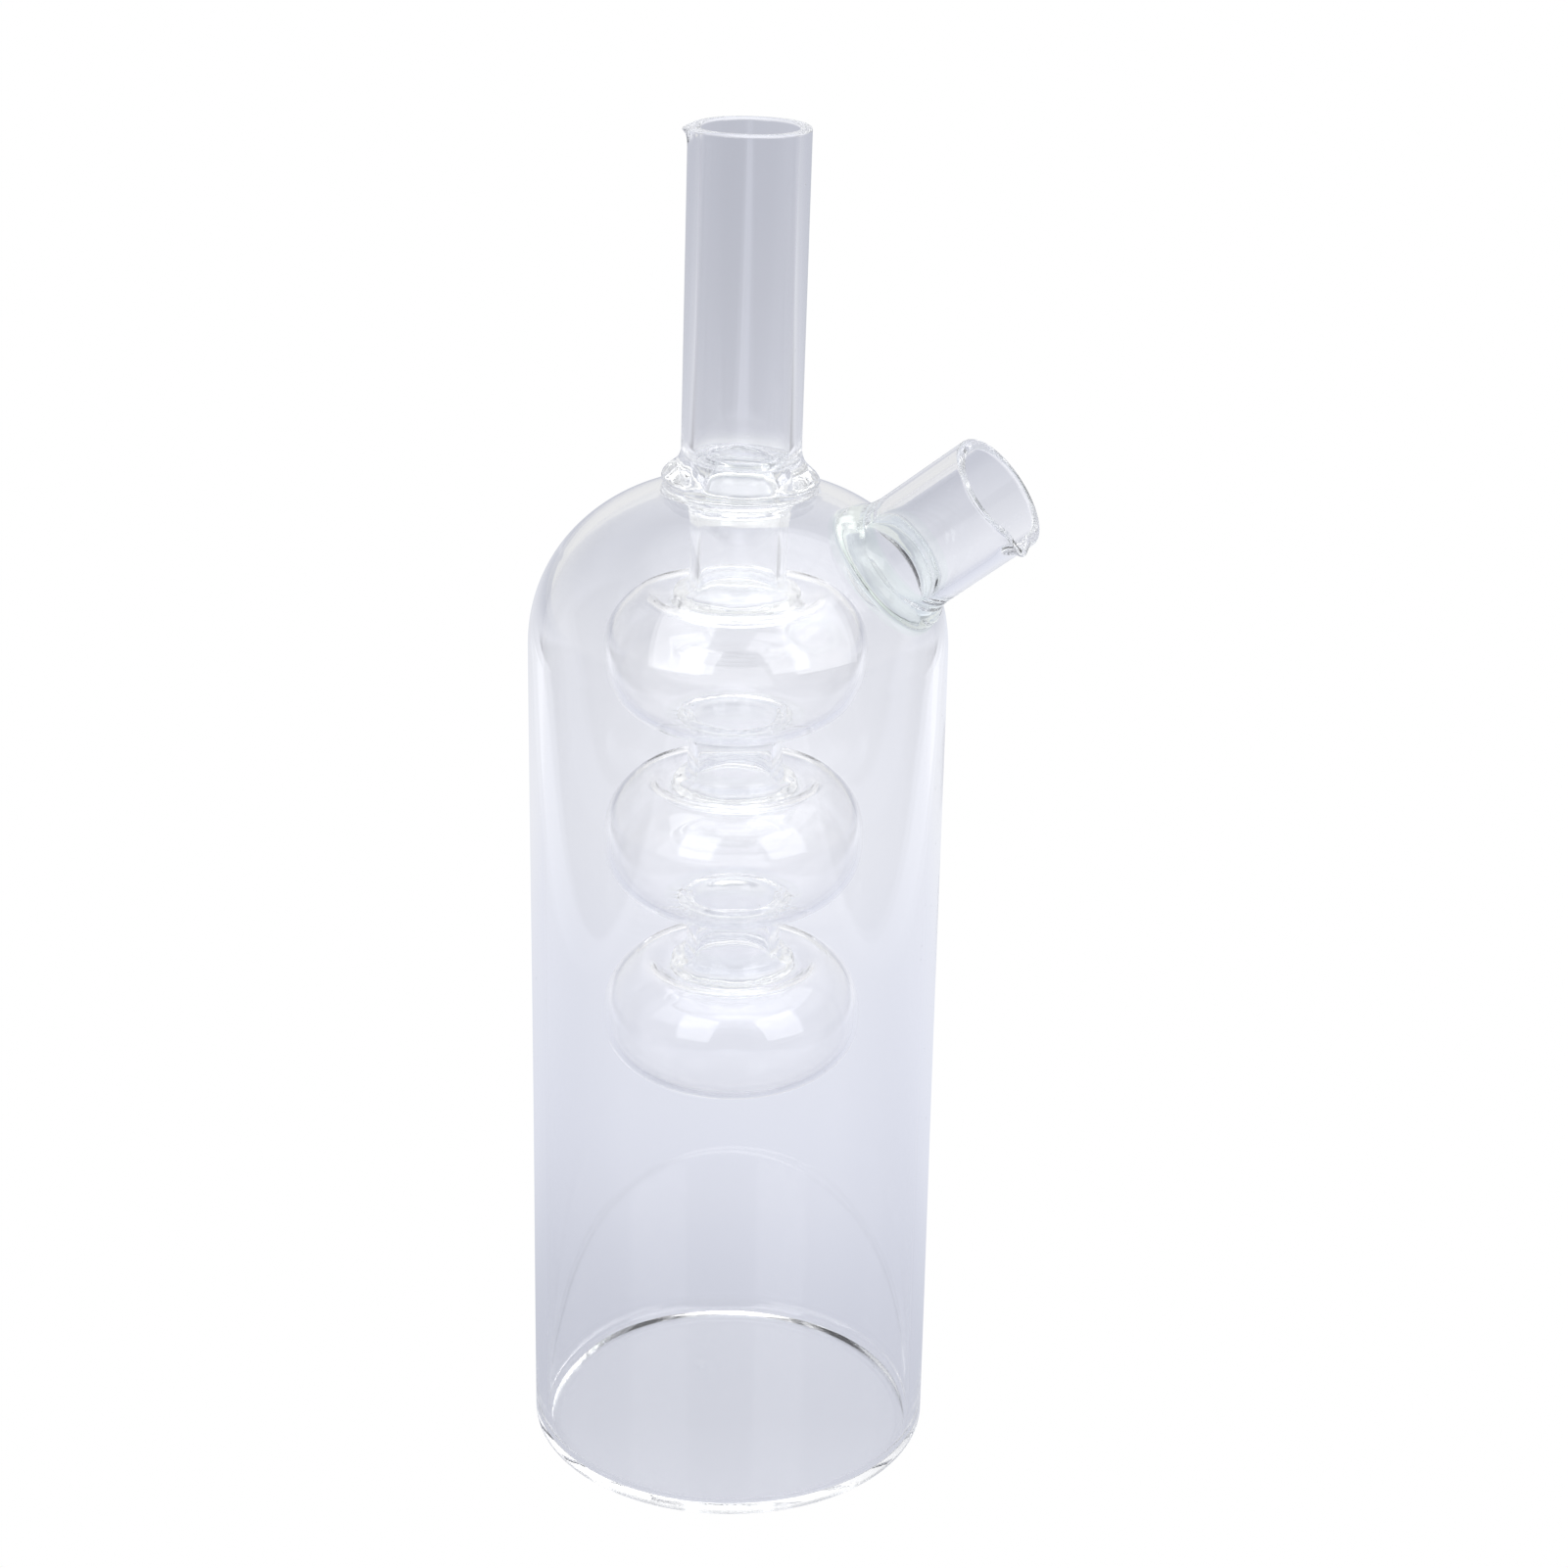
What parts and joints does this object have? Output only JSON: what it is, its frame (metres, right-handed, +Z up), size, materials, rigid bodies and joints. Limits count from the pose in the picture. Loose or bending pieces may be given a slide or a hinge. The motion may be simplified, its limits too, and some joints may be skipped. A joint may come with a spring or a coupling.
{
  "type": "oil and vinegar dispenser",
  "caption": "Clear glass bottle-in-bottle cruet: domed cylinder with a slanted side spout and a tall neck whose inner stem ends in a chain of round bulbs.",
  "frame": {"origin": "centre of the flat underside of the base", "axes": "+Z up along the bottle's axis, +X toward the slanted side spout"},
  "size_m": [0.0923, 0.075, 0.25],
  "materials": {
    "clear_glass": "clear, smooth, tube-drawn",
    "neck_glass": "clear, smooth, fire-polished rim",
    "core_glass": "clear, mouth-blown",
    "seam_glass": "clear, thick flame-worked seam"
  },
  "bodies": {
    "root": {"base_disc": "clear_glass", "body_wall": "clear_glass", "shoulder_dome": "clear_glass", "neck_seal_ring": "seam_glass", "neck_tube": "neck_glass", "spout_seal_ring": "seam_glass", "spout_tube": "neck_glass", "inner_stem": "core_glass", "upper_bulb_top_ring": "seam_glass", "upper_bulb": "core_glass", "upper_bulb_bottom_ring": "seam_glass", "upper_link_tube": "core_glass", "middle_bulb_top_ring": "seam_glass", "middle_bulb": "core_glass", "middle_bulb_bottom_ring": "seam_glass", "lower_link_tube": "core_glass", "lower_bulb_top_ring": "seam_glass", "lower_bulb": "core_glass"}
  },
  "joints": []
}
